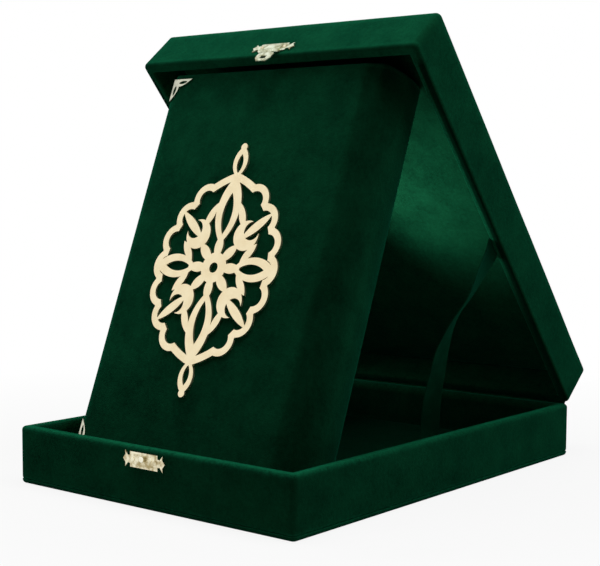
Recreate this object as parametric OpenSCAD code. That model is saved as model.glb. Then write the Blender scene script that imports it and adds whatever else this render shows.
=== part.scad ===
// Velvet-covered presentation box with a bound book standing in it.
// Millimetres. Origin: centre of the tray's underside. +X right, +Y back, +Z up.
// The lid is drawn closed and swung about the fold of the hinge cloth to its resting angle.

/* [Box] */
// Outer width of the box over the width of the book
side_room = 46; // [36:1:60]
// Outer depth of the box over the length of the book
end_room = 47; // [42:1:60]
// Height of the tray
tray_h = 34; // [28:0.5:44]
// Height of the lid
lid_h = 30; // [27:0.5:40]
// Thickness of the boards that form walls and lid panel
board_t = 4.5; // [3.5:0.1:6]
// Thickness of the velvet
nap_t = 1; // [0.8:0.1:1.5]
// Rounding of the upright corners
corner_r = 3.5; // [3:0.5:6]
// Thickness of the covered sheet under the tray
underside_t = 3; // [2:0.1:4]
// Thickness of the tray's base board
base_t = 3; // [2:0.1:5]
// Thickness of the lining on the tray's floor
floor_t = 1.5; // [1:0.1:3]
// Thickness of the padded lining in the lid
pad_t = 6; // [3:0.5:9]

/* [Lid] */
// Gap between the rims when the lid is closed
seam = 0.4; // [0.3:0.1:1]

/* [Hinge] */
// Distance of the hinge cloth's ends from the sides of the box
cloth_end = 3.5; // [3.5:0.5:12]
// Height of the hinge cloth on each wall
cloth_h = 20; // [12:1:26]
// Thickness of the hinge cloth
cloth_t = 0.8; // [0.5:0.1:1.2]

/* [Latch] */
// Width of the latch plates over their points
plate_w = 32; // [26:1:40]
// Height of the catch plate over its points
plate_h = 9.2; // [8:0.2:11]
// Height of the hasp plate over its points
hasp_h = 7.4; // [6.6:0.2:9]
// Thickness of the latch plates
plate_t = 0.8; // [0.6:0.1:1.2]
// Width of the swinging tongue
tongue_w = 12; // [10:0.5:16]
// How far the tongue reaches past the lid's rim
tongue_reach = 9.5; // [8:0.5:10]
// Radius of the knob's head
knob_r = 1.7; // [1.3:0.1:2.1]

/* [Ribbon] */
// Width of the ribbon that stays the lid
ribbon_w = 14; // [8:0.5:16]
// Thickness of the ribbon
ribbon_t = 0.6; // [0.4:0.1:0.8]
// Distance of the ribbon's ends from the hinge
ribbon_at = 138.4; // [120:0.1:160]

/* [Book] */
// Width of the closed book, fore-edge to spine
book_w = 164; // [140:1:178]
// Length of the book, tail to head
book_l = 239; // [225:1:246]
// Thickness of the closed book
book_t = 44; // [34:0.5:50]
// Thickness of a covered board
cover_t = 4; // [3.4:0.1:5]
// Angle at which the book leans, from flat
book_lean = 69; // [66:0.5:72]
// Gap between the front cover's lower edge and the tray's front wall
foot_gap = 15.7; // [12:0.1:20]
// Sideways place of the book's middle in the tray
book_x = 2; // [-6:0.5:6]
// Width of the joint between cover and spine
joint_w = 7.5; // [6:0.5:10]
// How far the covers stand past the pages
page_square = 4; // [2.5:0.5:6]
// How far the back of the page block is rounded
spine_round = 4; // [3:0.5:6]

/* [Ornament] */
// Height of the medallion over its pendants
medallion_h = 154; // [120:1:180]
// How far the medallion sits below the cover's middle
medallion_drop = 6; // [0:0.5:12]
// Thickness of the medallion
medallion_t = 1.6; // [1:0.1:3]
// Length of a corner piece along the cover's edge
corner_leg = 15; // [11:0.5:20]
// How far the upper corner piece sits below the head
corner_drop = 3; // [0:0.5:6]
// Thickness of a corner piece
corner_t = 1; // [0.6:0.1:1.6]

/* [Output] */
// Which piece to show

/* [Hidden] */
$fn = 64;
eps = 0.01;
seat = 0.1;
wall = board_t + 2 * nap_t;
box_w = book_w + side_room;
box_d = book_l + end_room;
hw = box_w / 2;
hd = box_d / 2;
nail_r = 0.6;
nail_head = 1.4;
nail_dome = 0.8;
nail_in = board_t + nap_t - 0.5;
floor_z = underside_t + base_t + floor_t;
rim_r = 1.8 * nap_t;
edge_r = 2.5 * nap_t;
rim_z = tray_h + seam;
lid_top = rim_z + lid_h;
panel_z = lid_top - nap_t - board_t;
// Fold of the hinge cloth
fold_y = hd;
fold_z = tray_h + seam / 2;
fold_r = norm([rim_r, rim_r + seam / 2]) - rim_r - 0.04;
run_gap = 0.05;
// Latch
axis_off = 1.4;
axis_up = 0.6;
axis_y = -hd - axis_off;
axis_z = rim_z + axis_up;
hasp_knuckle_r = 1.25;
hasp_pin_r = 0.6;
plate_k = plate_w / 32;
hasp_plate_z = rim_z + 1.6 + hasp_h / 2;
knob_z = rim_z - tongue_reach + 3.4;
catch_z = knob_z - 1.2;
// Book
edge = cover_t / 2 - 0.05;
page_t = book_t - 2 * cover_t;
paper_t = 0.3;
back_r = (page_t * page_t / 4 + spine_round * spine_round) / (2 * spine_round);
card_in = back_r + 0.4;
card_out = card_in + 1.1;
cloth_in = card_out + 0.4;
cloth_out = cloth_in + 1.6;
fore_x = -book_w / 2;
back_c = book_w / 2 - cloth_out;
page_end = back_c + back_r - spine_round;
cover_end = page_end - joint_w;
// The book's edge stands on the floor, and the lid's pad comes to rest on its head
lean_len = book_l - 2 * edge;
foot_z = floor_z + seat + edge;
foot_y = -hd + wall + foot_gap + edge + (book_t - 2 * edge) * sin(book_lean);
pad_v = panel_z - pad_t - fold_z;
head_y = foot_y + lean_len * cos(book_lean);
head_z = foot_z + lean_len * sin(book_lean);
lid_rest = atan2(head_z - fold_z, fold_y - head_y)
    - asin((pad_v - edge - seat) / norm([head_z - fold_z, fold_y - head_y]));

// Poses
module in_lid() {
    translate([0, fold_y, fold_z]) rotate([-lid_rest, 0, 0]) translate([0, -fold_y, -fold_z]) children();
}
module in_book() {
    translate([book_x, foot_y, foot_z]) rotate([book_lean, 0, 0]) translate([0, -edge, -edge]) children();
}

// Shared shapes
module block(x0, x1, y0, y1, z0, z1) {
    translate([x0, y0, z0]) cube([x1 - x0, y1 - y0, z1 - z0]);
}
module corner_cut(r) {
    difference() {
        translate([-1, -1]) square(r + 1);
        translate([r, r]) circle(r);
    }
}
module soft_rect(w, h, r0, r1) {
    difference() {
        translate([-w / 2, 0]) square([w, h]);
        if (r0 > 0) {
            translate([-w / 2, 0]) corner_cut(r0);
            translate([w / 2, 0]) mirror([1, 0]) corner_cut(r0);
        }
        if (r1 > 0) {
            translate([-w / 2, h]) mirror([0, 1]) corner_cut(r1);
            translate([w / 2, h]) rotate(180) corner_cut(r1);
        }
    }
}
module upright(w, d, h, r) {
    linear_extrude(h) translate([0, -d / 2]) soft_rect(w, d, r, r);
}
// A block with its upright, lower and upper edges rounded
module soft_block(w, d, h, rv, r0, r1) {
    intersection() {
        upright(w, d, h, rv);
        translate([0, d / 2 + 1, 0]) rotate([90, 0, 0]) linear_extrude(d + 2) soft_rect(w, h, r0, r1);
        translate([-w / 2 - 1, 0, 0]) rotate([90, 0, 90]) linear_extrude(w + 2) soft_rect(d, h, r0, r1);
    }
}
module nail(len) {
    translate([0, 0, -len]) cylinder(h = len + nail_dome / 8, r = nail_r);
    cylinder(h = nail_dome, r1 = nail_head, r2 = nail_head / 2);
}
module leaf(len, w) {
    r = (len * len / 4 + w * w / 4) / w;
    intersection() {
        translate([r - w / 2, 0]) circle(r);
        translate([w / 2 - r, 0]) circle(r);
    }
}

// Tray
module core(w_in, z0, z1) {
    translate([0, 0, z0]) upright(box_w - 2 * w_in, box_d - 2 * w_in, z1 - z0, corner_r - w_in);
}
module tray_underside() {
    soft_block(box_w, box_d, underside_t, corner_r, underside_t - 0.4, 0);
}
module tray_base_board() {
    a = nap_t + board_t;
    block(-hw + a, hw - a, -hd + a, hd - a, underside_t, underside_t + base_t);
}
module tray_front_wall() {
    intersection() {
        core(nap_t, underside_t, tray_h - nap_t);
        block(-hw, hw, -hd + nap_t, -hd + nap_t + board_t, 0, tray_h);
    }
}
module tray_back_wall() {
    intersection() {
        core(nap_t, underside_t, tray_h - nap_t);
        block(-hw, hw, hd - nap_t - board_t, hd - nap_t, 0, tray_h);
    }
}
module tray_left_wall() {
    a = nap_t + board_t;
    block(-hw + nap_t, -hw + a, -hd + a, hd - a, underside_t, tray_h - nap_t);
}
module tray_right_wall() {
    a = nap_t + board_t;
    block(hw - a, hw - nap_t, -hd + a, hd - a, underside_t, tray_h - nap_t);
}
module tray_velvet() {
    a = nap_t + board_t;
    difference() {
        translate([0, 0, underside_t])
            soft_block(box_w, box_d, tray_h - underside_t, corner_r, 0, rim_r);
        difference() {
            translate([0, 0, underside_t - 1])
                upright(box_w - 2 * nap_t, box_d - 2 * nap_t, tray_h - nap_t - underside_t + 1,
                    corner_r - nap_t - 0.5);
            block(-hw + a, hw - a, -hd + a, hd - a, underside_t + base_t, tray_h);
        }
        block(-hw + wall, hw - wall, -hd + wall, hd - wall, underside_t - 1, tray_h + 1);
    }
}
module tray_floor_lining() {
    block(-hw + wall, hw - wall, -hd + wall, hd - wall, underside_t + base_t, floor_z);
}

// Lid, drawn closed
module lid_panel_board() {
    in_lid() core(nap_t, panel_z, lid_top - nap_t);
}
module lid_front_wall() {
    in_lid() intersection() {
        core(nap_t, rim_z + nap_t, panel_z);
        block(-hw, hw, -hd + nap_t, -hd + nap_t + board_t, 0, lid_top);
    }
}
module lid_back_wall() {
    in_lid() intersection() {
        core(nap_t, rim_z + nap_t, panel_z);
        block(-hw, hw, hd - nap_t - board_t, hd - nap_t, 0, lid_top);
    }
}
module lid_left_wall() {
    a = nap_t + board_t;
    in_lid() block(-hw + nap_t, -hw + a, -hd + a, hd - a, rim_z + nap_t, panel_z);
}
module lid_right_wall() {
    a = nap_t + board_t;
    in_lid() block(hw - a, hw - nap_t, -hd + a, hd - a, rim_z + nap_t, panel_z);
}
module lid_velvet() {
    a = nap_t + board_t;
    in_lid() difference() {
        translate([0, 0, rim_z]) soft_block(box_w, box_d, lid_h, corner_r, rim_r, edge_r);
        difference() {
            translate([0, 0, rim_z + nap_t])
                upright(box_w - 2 * nap_t, box_d - 2 * nap_t, lid_h - 2 * nap_t,
                    corner_r - nap_t - 0.5);
            block(-hw + a, hw - a, -hd + a, hd - a, rim_z, panel_z);
        }
        block(-hw + wall, hw - wall, -hd + wall, hd - wall, rim_z - 1, panel_z);
    }
}
module lid_lining() {
    in_lid() block(-hw + wall, hw - wall, -hd + wall, hd - wall, panel_z - pad_t, panel_z);
}

// Cloth hinge: a strip glued along both back walls, with a roll of cloth in the fold
module hinge_cloth_tray() {
    block(-hw + cloth_end, hw - cloth_end, hd, hd + cloth_t, fold_z - cloth_h, fold_z);
    translate([-hw + cloth_end, fold_y, fold_z]) rotate([0, 90, 0])
        cylinder(h = box_w - 2 * cloth_end, r = fold_r);
}
module hinge_cloth_lid() {
    in_lid() block(-hw + cloth_end, hw - cloth_end, hd, hd + cloth_t, fold_z + cloth_t + 0.4, fold_z + cloth_h);
}

// Latch plates: a field with waisted, three-pointed ends
module plate_outline(j) {
    square([21 * plate_k, 8.6 * j], center = true);
    end = [[10, 2.4], [12.2, 2], [14.4, 4.6], [14.1, 2.2], [16, 0], [14.1, -2.2], [14.4, -4.6],
        [12.2, -2], [10, -2.4]];
    for (s = [0, 1]) {
        mirror([s, 0]) polygon([for (p = end) [p[0] * plate_k, p[1] * j]]);
    }
}
module latch_plate(h) {
    j = h / 9.2;
    difference() {
        union() {
            linear_extrude(plate_t) plate_outline(j);
            linear_extrude(plate_t + 0.35) square([13 * plate_k, 5.4 * j], center = true);
        }
        for (s = [-1, 1]) translate([s * 8.6 * plate_k, 0, -1]) cylinder(h = 4, r = nail_r + run_gap);
    }
}
module on_front(z) {
    translate([0, -hd, z]) rotate([90, 0, 0]) children();
}
module catch_plate() {
    difference() {
        on_front(catch_z) latch_plate(plate_h);
        on_front(knob_z) translate([0, 0, -1]) cylinder(h = 5, r = 0.95);
    }
}
module catch_knob() {
    on_front(knob_z) {
        translate([0, 0, -2]) cylinder(h = 4.4, r = 0.9);
        translate([0, 0, 2.2]) cylinder(h = 0.7, r1 = knob_r, r2 = knob_r);
        translate([0, 0, 2.9]) cylinder(h = 0.5, r1 = knob_r, r2 = knob_r * 0.6);
    }
}
module catch_nails() {
    for (s = [-1, 1]) {
        on_front(catch_z) translate([s * 8.6 * plate_k, 0, plate_t]) nail(nail_in - 0.5);
    }
}
module hasp_barrel(x0, x1) {
    translate([x0, axis_y, axis_z]) rotate([0, 90, 0]) cylinder(h = x1 - x0, r = hasp_knuckle_r);
}
module hasp_bore(r) {
    translate([-20, axis_y, axis_z]) rotate([0, 90, 0]) cylinder(h = 40, r = r);
}
hasp_in = tongue_w / 4;
hasp_out = tongue_w / 2 + 1.6;
module hasp_plate() {
    in_lid() difference() {
        union() {
            on_front(hasp_plate_z) latch_plate(hasp_h);
            for (s = [0, 1]) mirror([s, 0, 0]) {
                hasp_barrel(hasp_in + 0.12, hasp_out);
                block(hasp_in + 0.12, hasp_out, -hd - plate_t, -hd - 0.2, axis_z, hasp_plate_z - 2);
            }
        }
        hasp_bore(hasp_pin_r + run_gap);
    }
}
module hasp_nails() {
    in_lid() for (s = [-1, 1]) {
        on_front(hasp_plate_z) translate([s * 8.6 * plate_k, 0, plate_t]) nail(nail_in - 0.5);
    }
}
module hasp_pin() {
    in_lid() translate([-hasp_out - 0.4, axis_y, axis_z]) rotate([0, 90, 0])
        cylinder(h = 2 * hasp_out + 0.8, r = hasp_pin_r);
}
tip_z = rim_z - tongue_reach;
module tongue_outline() {
    neck = axis_z - tip_z;
    difference() {
        polygon([[-hasp_in, neck], [-hasp_in, neck - 1.9], [-tongue_w / 2, neck - 3],
            [-tongue_w / 2, 3], [-tongue_w / 2 + 2.4, 0], [tongue_w / 2 - 2.4, 0],
            [tongue_w / 2, 3], [tongue_w / 2, neck - 3], [hasp_in, neck - 1.9], [hasp_in, neck]]);
        translate([-knob_r - 0.5, knob_z - tip_z - knob_r - 0.1])
            square([2 * knob_r + 1, 2 * knob_r + 0.2]);
    }
}
module hasp_tongue() {
    in_lid() difference() {
        union() {
            translate([0, -hd - 1.1, tip_z]) rotate([90, 0, 0]) linear_extrude(0.8) tongue_outline();
            hasp_barrel(-hasp_in, hasp_in);
            translate([-tongue_w / 2 + 2.4, -hd - 1.9, tip_z + 0.7]) rotate([0, 90, 0])
                cylinder(h = tongue_w - 4.8, r = 0.7);
        }
        hasp_bore(hasp_pin_r + run_gap);
    }
}

// Ribbon from the tray's right wall to the lid's right wall
ribbon_x = hw - wall - ribbon_t / 2 - 0.1;
function lid_point(x, u, v) = [x, fold_y - u * cos(lid_rest) + v * sin(lid_rest),
    fold_z + u * sin(lid_rest) + v * cos(lid_rest)];
ribbon_a = [ribbon_x, fold_y - ribbon_at, tray_h - 2];
ribbon_b = lid_point(ribbon_x, ribbon_at, seam / 2 + 2);
ribbon_c = lid_point(ribbon_x, ribbon_at, seam / 2 + 12);
sag_k = (tray_h - floor_z) / 26.5;
ribbon_sag = [[0, -0.3, 1, -10], [0, -2.1, 4, -17.5], [0, -9.1, 9, -21.2], [0.05, -17.1, 12.4, -26.6],
    [0.05, -23.1, 16.4, -22.6], [0.1, -25.1, 15.8, -19.2], [0.15, -24.6, 13.2, -12.7],
    [0.2, -22.6, 9.5, -4.3], [0.3, -19.1, 4.3, 0.5], [0.4, -15.1, -1.9, 3.4], [0.5, -10.6, -6.2, 4.2],
    [0.6, -6.1, -6.4, 3], [0.7, -2.6, -4.6, 1.9], [0.8, -0.7, -1.8, 4.2], [0.93, -0.2, -0.5, 1.4]];
ribbon_knots = concat([ribbon_a],
    [for (k = ribbon_sag) ribbon_a + k[0] * (ribbon_b - ribbon_a) + [k[1], k[2], k[3] * sag_k]],
    [ribbon_b, ribbon_c]);
function knot(i) = ribbon_knots[max(0, min(len(ribbon_knots) - 1, i))];
function spline(a, b, c, d, t) = 0.5 * (2 * b + (c - a) * t + (2 * a - 5 * b + 4 * c - d) * t * t
    + (3 * b - a - 3 * c + d) * t * t * t);
ribbon_path = concat([for (i = [0 : len(ribbon_knots) - 2], t = [0, 1 / 3, 2 / 3])
    spline(knot(i - 1), knot(i), knot(i + 1), knot(i + 2), t)], [ribbon_c]);
function unit(v) = v / norm(v);
function path_at(i) = ribbon_path[max(0, min(len(ribbon_path) - 1, i))];
function along(i) = unit(path_at(i + 1) - path_at(i - 1));
function across(t) = unit([0, 1, 0] - t[1] * t);
function ribbon_ring(i) = let (t = along(i), w = across(t), n = cross(t, w), p = path_at(i))
    [p + w * ribbon_w / 2 + n * ribbon_t / 2, p + w * ribbon_w / 2 - n * ribbon_t / 2,
    p - w * ribbon_w / 2 - n * ribbon_t / 2, p - w * ribbon_w / 2 + n * ribbon_t / 2];
module lid_stay_ribbon() {
    n = len(ribbon_path);
    polyhedron(
        points = [for (i = [0 : n - 1]) each ribbon_ring(i)],
        faces = concat([[3, 2, 1, 0]],
            [for (i = [0 : n - 2], k = [0 : 3]) each
                [[4 * i + k, 4 * i + (k + 1) % 4, 4 * i + 4 + (k + 1) % 4],
                [4 * i + k, 4 * i + 4 + (k + 1) % 4, 4 * i + 4 + k]]],
            [[4 * n - 4, 4 * n - 3, 4 * n - 2, 4 * n - 1]]));
}

// Book, drawn flat on its back: x from fore-edge to spine, y from tail to head, z from back to front
module board_in(t0) {
    block(fore_x + nap_t, cover_end - nap_t, nap_t, book_l - nap_t, t0 + nap_t, t0 + cover_t - nap_t);
}
module cover_at(t0) {
    w = cover_end - fore_x;
    translate([fore_x + w / 2, book_l / 2, t0]) soft_block(w, book_l, cover_t, 2.2, edge, edge);
}
module spine_arc(r0, r1, half) {
    translate([back_c, book_t / 2]) intersection() {
        difference() {
            circle(r1);
            circle(r0);
        }
        translate([0, -half]) square([r1 + 1, 2 * half]);
    }
}
module along_book(y0, y1) {
    translate([0, y1, 0]) rotate([90, 0, 0]) linear_extrude(y1 - y0) children();
}
module book_front_board() { in_book() board_in(book_t - cover_t); }
module book_back_board() { in_book() board_in(0); }
module book_spine_card() {
    in_book() along_book(nap_t, book_l - nap_t) spine_arc(card_in, card_out, page_t / 2 - 0.4);
}
module book_case_velvet() {
    in_book() difference() {
        union() {
            cover_at(0);
            cover_at(book_t - cover_t);
            along_book(0.6, book_l - 0.6) {
                spine_arc(cloth_in, cloth_out, book_t / 2 - 0.5);
                for (t = [cover_t - 1.5, book_t - cover_t + 0.1]) {
                    translate([cover_end - 1.5, t]) square([back_c + cloth_in * 0.915 - cover_end + 1.5, 1.4]);
                }
            }
        }
        board_in(0);
        board_in(book_t - cover_t);
    }
}
module book_page_block() {
    in_book() along_book(page_square, book_l - page_square) difference() {
        union() {
            translate([fore_x + page_square, cover_t + paper_t])
                square([page_end - fore_x - page_square, page_t - 2 * paper_t]);
            intersection() {
                translate([back_c, book_t / 2]) circle(back_r);
                translate([page_end - 1, cover_t + paper_t]) square([spine_round + 2, page_t - 2 * paper_t]);
            }
        }
        translate([fore_x + page_square + 2.6 - back_r, book_t / 2]) circle(back_r);
    }
}
module book_front_endpaper() {
    in_book() block(fore_x + 2.5, page_end - 3, 2.5, book_l - 2.5, book_t - cover_t - paper_t, book_t - cover_t);
}
module book_back_endpaper() {
    in_book() block(fore_x + 2.5, page_end - 3, 2.5, book_l - 2.5, cover_t, cover_t + paper_t);
}
module book_head_band() {
    in_book() along_book(book_l - page_square, book_l - page_square + 1.8)
        spine_arc(back_r - 2.2, back_r, page_t / 2 - 2);
}
module book_tail_band() {
    in_book() along_book(page_square - 1.8, page_square) spine_arc(back_r - 2.2, back_r, page_t / 2 - 2);
}

// Corner pieces: a pierced half leaf along each edge, mitred in the corner
corner_in = 0.9;
module corner_piece() {
    linear_extrude(corner_t) scale(corner_leg / 15) for (m = [0, 1]) mirror([m, -m]) difference() {
        polygon(concat([[0, 0], [15, 0]], [for (i = [19 : -1 : 0]) [i * 0.75, 5 * sin(48 + 132 * i / 20)]]));
        translate([7.6, 2.3]) rotate(83) leaf(7.6, 2);
    }
}
module book_top_corner() {
    in_book() translate([fore_x + corner_in, book_l - corner_in - corner_drop, book_t]) mirror([0, 1, 0])
        corner_piece();
}
module book_bottom_corner() {
    in_book() translate([fore_x + corner_in, corner_in, book_t]) corner_piece();
}

// Medallion: a lobed almond band round a rosette, four palmettes and four curled leaves
module almond(inset, lobe) {
    leaf(120 - 2 * inset, 90 - 2 * inset);
    for (turn = [0, 180], i = [-3 : 3]) {
        rotate(turn) translate([-17.5, 0]) rotate(i * 16.4) translate([56, 0]) circle(lobe);
    }
}
module palmette(y0, len, w) {
    translate([0, y0 + len / 2]) difference() {
        leaf(len, w);
        translate([0, -len * 0.06]) leaf(len * 0.62, w * 0.42);
    }
}
module curl(x, y, r, t) {
    translate([x, y]) difference() {
        circle(r);
        translate([r * 0.38, r * 0.32]) circle(r - t);
    }
}
module medallion_outline() {
    difference() {
        almond(0, 10.4);
        almond(4.8, 6);
    }
    difference() {
        circle(9.5);
        circle(3.2);
    }
    for (a = [0 : 45 : 315]) rotate(a) translate([0, 13]) leaf(15, 6.4);
    for (a = [0, 180]) rotate(a) {
        palmette(15, 43, 18);
        palmette(57, 20, 11);
        translate([0, 76.6]) circle(2.4);
    }
    for (a = [90, 270]) rotate(a) palmette(15, 32, 15);
    for (sx = [0, 1], sy = [0, 1]) mirror([sx, 0]) mirror([0, sy]) {
        curl(19, 20.5, 9.4, 3.6);
        translate([24, 9.5]) rotate(-38) leaf(16, 5);
        translate([12.4, 32.5]) rotate(24) leaf(18, 5);
        translate([25.4, 26.3]) rotate(-50) leaf(27, 5.6);
    }
}
module book_medallion() {
    in_book() translate([(fore_x + cover_end) / 2, book_l / 2 - medallion_drop, book_t])
        linear_extrude(medallion_t) scale(medallion_h / 158) medallion_outline();
}

tray_underside();
tray_base_board();
tray_front_wall();
tray_back_wall();
tray_left_wall();
tray_right_wall();
tray_velvet();
tray_floor_lining();
lid_panel_board();
lid_front_wall();
lid_back_wall();
lid_left_wall();
lid_right_wall();
lid_velvet();
lid_lining();
hinge_cloth_tray();
hinge_cloth_lid();
catch_plate();
catch_knob();
catch_nails();
hasp_plate();
hasp_nails();
hasp_pin();
hasp_tongue();
lid_stay_ribbon();
book_front_board();
book_back_board();
book_spine_card();
book_case_velvet();
book_page_block();
book_front_endpaper();
book_back_endpaper();
book_head_band();
book_tail_band();
book_top_corner();
book_bottom_corner();
book_medallion();
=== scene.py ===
"""Velvet-covered presentation box with a leaning book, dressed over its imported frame."""

from __future__ import annotations

import logging
import math
from dataclasses import dataclass, field
from enum import Enum
from typing import Any, Callable, Iterable, Sequence

import bmesh
import bpy
from mathutils import Matrix, Vector, noise

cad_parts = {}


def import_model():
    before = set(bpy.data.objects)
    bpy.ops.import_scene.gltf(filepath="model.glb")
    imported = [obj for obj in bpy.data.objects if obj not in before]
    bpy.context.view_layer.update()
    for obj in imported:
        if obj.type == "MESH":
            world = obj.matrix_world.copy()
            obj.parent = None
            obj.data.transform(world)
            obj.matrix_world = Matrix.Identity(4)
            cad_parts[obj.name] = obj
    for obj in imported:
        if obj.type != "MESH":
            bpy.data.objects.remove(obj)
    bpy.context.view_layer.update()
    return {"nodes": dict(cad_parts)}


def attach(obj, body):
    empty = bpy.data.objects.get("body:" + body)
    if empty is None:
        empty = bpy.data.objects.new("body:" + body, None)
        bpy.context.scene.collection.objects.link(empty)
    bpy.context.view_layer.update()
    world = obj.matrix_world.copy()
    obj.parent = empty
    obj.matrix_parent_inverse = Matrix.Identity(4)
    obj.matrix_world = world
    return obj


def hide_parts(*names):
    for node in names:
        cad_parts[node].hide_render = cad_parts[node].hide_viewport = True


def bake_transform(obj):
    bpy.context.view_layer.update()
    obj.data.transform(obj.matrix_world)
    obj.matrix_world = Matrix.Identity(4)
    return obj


LOG = logging.getLogger("box")
MM = 0.001
# Velvet marks: positive values paint lighter edges (painted highlight, partly rubbed pile), negative
# values paint shade.
WEAR_AND_PAINTED_LIGHT = "fold"
ALONG = "along"

Colour = tuple[float, float, float, float]
Point = tuple[float, float, float]
Spot = tuple[float, float]
Strip = tuple[float, float, float, float, float]
Inputs = dict[Any, Any]
Node = bpy.types.Node
Socket = bpy.types.NodeSocket
Group = bpy.types.NodeTree
Piece = bpy.types.Object


class Body(Enum):
    """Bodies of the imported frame."""

    TRAY = "tray"
    LID = "lid"
    HASP = "hasp"
    BOOK = "book"


class Slot(Enum):
    """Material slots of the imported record."""

    VELVET = "green_velvet"
    LINING = "green_lining"
    BOARD = "box_board"
    BRASS = "latch_brass"
    RIBBON = "green_ribbon"
    CARD = "book_card"
    PAGES = "pages"
    ENDPAPER = "endpaper"
    THREAD = "band_thread"
    GOLD = "pale_gold"


class Cap(Enum):
    """How the two ends of a swept profile are closed."""

    LOOP = "loop"
    FILL = "fill"


def rgb(red: float, green: float, blue: float) -> Colour:
    """Gives a linear colour with full alpha."""
    return (red, green, blue, 1.0)


def clamp(value: float) -> float:
    """Keeps a value between 0 and 1."""
    return max(0.0, min(1.0, value))


WHITE = rgb(1.0, 1.0, 1.0)


# Node helpers


class Tree:
    """Adds and joins nodes in one node tree."""

    def __init__(self, tree: Group) -> None:
        """Keeps the tree that the nodes go into."""
        self.tree = tree

    @classmethod
    def cleared(cls, owner: bpy.types.Material | bpy.types.World) -> Tree:
        """Empties the node tree of a material or a world.

        Args:
            owner: The material or world.

        Returns:
            A helper on its tree.
        """
        owner.use_nodes = True
        owner.node_tree.nodes.clear()
        return cls(owner.node_tree)

    def fill(self, node: Node, inputs: Inputs) -> None:
        """Sets or links some inputs of a node.

        Args:
            node: The node.
            inputs: Values or output sockets, by input name or index.
        """
        for key, value in inputs.items():
            if isinstance(value, Socket):
                self.tree.links.new(value, node.inputs[key])
            else:
                node.inputs[key].default_value = value

    def add(self, kind: str, inputs: Inputs | None = None, **props: Any) -> Node:
        """Adds a node, sets its properties, and sets or links its inputs.

        Args:
            kind: The node's type name.
            inputs: Values or output sockets, by input name or index.
            **props: Properties of the node itself.

        Returns:
            The new node.
        """
        node = self.tree.nodes.new(kind)
        for name, value in props.items():
            setattr(node, name, value)
        self.fill(node, inputs or {})
        return node

    def out(self, kind: str, inputs: Inputs | None = None, **props: Any) -> Socket:
        """Adds a node in the same way and gives its first output."""
        return self.add(kind, inputs, **props).outputs[0]

    def math(self, operation: str, *values: Any) -> Socket:
        """Adds a Math node and gives its output."""
        return self.out("ShaderNodeMath", dict(enumerate(values)), operation=operation)

    def total(self, *terms: tuple[Socket, float]) -> Socket:
        """Adds up values.

        Args:
            *terms: Each value with its weight.

        Returns:
            The weighted sum.
        """
        found: Any = 0.0
        for value, weight in terms:
            found = self.math("MULTIPLY_ADD", value, weight, found)
        return found

    def noise(self, where: Socket, scale: Any, detail: float = 2.0, rough: float = 0.5) -> Socket:
        """Adds a noise texture and gives its value."""
        inputs = {"Vector": where, "Scale": scale, "Detail": detail, "Roughness": rough}
        return self.out("ShaderNodeTexNoise", inputs)

    def spread(self, value: Socket, span: Spot, to: Spot = (0.0, 1.0)) -> Socket:
        """Stretches a value from one range to another, clamped."""
        ends = {"From Min": span[0], "From Max": span[1], "To Min": to[0], "To Max": to[1]}
        return self.out("ShaderNodeMapRange", {"Value": value, **ends})

    def mix(self, factor: Socket, first: Any, second: Any) -> Socket:
        """Mixes two colours and gives the result."""
        inputs = {0: factor, 6: first, 7: second}
        return self.add("ShaderNodeMix", inputs, data_type="RGBA").outputs[2]

    def place(self) -> Socket:
        """Gives the object's own coordinates."""
        return self.add("ShaderNodeTexCoord").outputs["Object"]

    def mark(self, name: str) -> Socket:
        """Gives the value of a mesh attribute."""
        return self.add("ShaderNodeAttribute", attribute_name=name).outputs["Fac"]

    def bump(self, height: Socket, depth: float, strength: float) -> Socket:
        """Turns a height into a normal."""
        inputs = {"Strength": strength, "Distance": depth, "Height": height}
        return self.out("ShaderNodeBump", inputs)

    def shared(self, name: str, make: Callable[[str], Group], inputs: Inputs) -> Any:
        """Places a group that several materials share, made on first use.

        Args:
            name: The group's name.
            make: Makes the group under that name.
            inputs: Values or output sockets, by input name.

        Returns:
            The placed node's outputs.
        """
        group = bpy.data.node_groups.get(name) or make(name)
        return self.add("ShaderNodeGroup", inputs, node_tree=group).outputs

    def mottle(self, fine: float, broad: float) -> Any:
        """Places the shared mottle with its scales and gives its outputs."""
        return self.shared("mottle", mottle_group, {"Fine": fine, "Broad": broad})

    def seen(self) -> Socket:
        """Tells rays that look at a surface from those that only light others.

        Returns:
            1 for rays from the camera, straight, mirrored or passed through, else 0.
        """
        rays = self.add("ShaderNodeLightPath").outputs
        straight = self.math("MAXIMUM", rays["Is Camera Ray"], rays["Is Transmission Ray"])
        return self.math("MAXIMUM", straight, rays["Is Glossy Ray"])

    def surface(self, kind: str, factor: Socket, first: Socket, second: Socket) -> None:
        """Mixes two shaders into an output node of some kind."""
        both = self.out("ShaderNodeMixShader", {0: factor, 1: first, 2: second})
        self.add(kind, {"Surface": both})


def new_group(
    name: str, kind: str, ins: Sequence[tuple[str, str, Any]], outs: Sequence[Sequence[str]]
) -> tuple[Tree, Any, Node]:
    """Makes a node group with named inputs and outputs.

    Args:
        name: The group's name.
        kind: The tree type.
        ins: Name, socket type and default of each input.
        outs: Name and socket type of each output.

    Returns:
        A helper on the new tree, the sockets that it is fed by, and its output node.
    """
    tree = bpy.data.node_groups.new(name, kind)
    for label, socket, default in ins:
        made = tree.interface.new_socket(label, in_out="INPUT", socket_type=socket)
        if default is not None:
            made.default_value = default
    for label, socket in outs:
        tree.interface.new_socket(label, in_out="OUTPUT", socket_type=socket)
    kit = Tree(tree)
    return kit, kit.add("NodeGroupInput").outputs, kit.add("NodeGroupOutput")


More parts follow.
